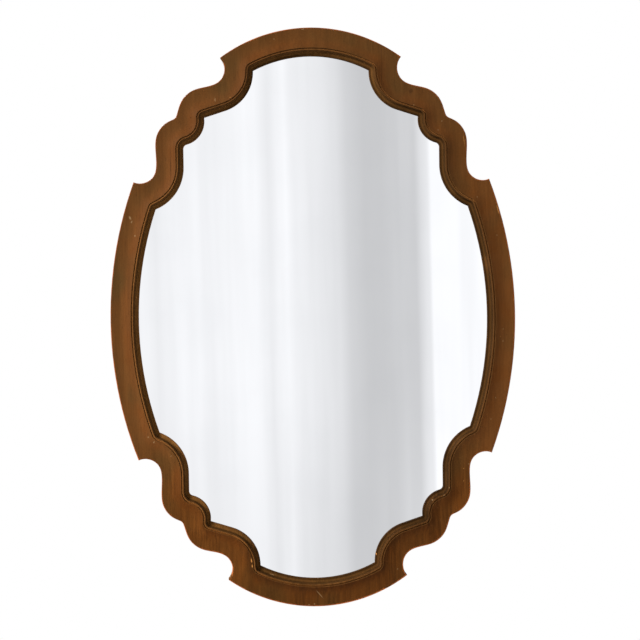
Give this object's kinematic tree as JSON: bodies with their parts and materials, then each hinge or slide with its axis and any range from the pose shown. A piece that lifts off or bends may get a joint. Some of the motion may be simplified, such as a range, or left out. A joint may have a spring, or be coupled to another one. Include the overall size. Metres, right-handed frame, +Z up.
{
  "type": "oval wall mirror",
  "caption": "Hanging wall mirror: oval glass in a scalloped hardwood frame with bead and cove, backing panel, clips and swinging ring hangers.",
  "frame": {"origin": "on the wall plane, midway between the two hooks that the hanger rings rest on", "axes": "+Z up, +Y into the wall, the mirror faces -Y, +X to the right as one looks at its face"},
  "size_m": [0.7112, 0.029, 1.016],
  "materials": {
    "frame_wood": "satin",
    "dowel_wood": "matte",
    "mirror": "polished",
    "hardboard": "matte",
    "steel": "satin",
    "rubber": "matte"
  },
  "bodies": {
    "mirror": {"top_board": "frame_wood", "bottom_board": "frame_wood", "upper_left_shoulder_board": "frame_wood", "upper_right_shoulder_board": "frame_wood", "lower_left_shoulder_board": "frame_wood", "lower_right_shoulder_board": "frame_wood", "left_side_board": "frame_wood", "right_side_board": "frame_wood", "joint_dowels": "dowel_wood", "mirror_glass": "mirror", "backing_panel": "hardboard", "setting_blocks": "rubber", "side_shims": "rubber", "clip_screws": "steel", "hanger_screws": "steel", "left_hanger_strap": "steel", "right_hanger_strap": "steel", "retaining_clip_1": "steel", "retaining_clip_2": "steel", "retaining_clip_3": "steel", "retaining_clip_4": "steel", "retaining_clip_5": "steel", "retaining_clip_6": "steel", "retaining_clip_7": "steel", "retaining_clip_8": "steel", "upper_left_bumper": "rubber", "upper_right_bumper": "rubber", "lower_left_bumper": "rubber", "lower_right_bumper": "rubber"},
    "left_ring": {"left_hanger_ring": "steel"},
    "right_ring": {"right_hanger_ring": "steel"}
  },
  "joints": [
    {"name": "left_ring_swing", "type": "hinge", "parent": "mirror", "child": "left_ring", "pos_m": [-0.32282, -0.00265, -0.017], "axis": [-1, 0, 0], "range_deg": [0, 175]},
    {"name": "right_ring_swing", "type": "hinge", "parent": "mirror", "child": "right_ring", "pos_m": [0.32282, -0.00265, -0.017], "axis": [-1, 0, 0], "range_deg": [0, 175]}
  ]
}
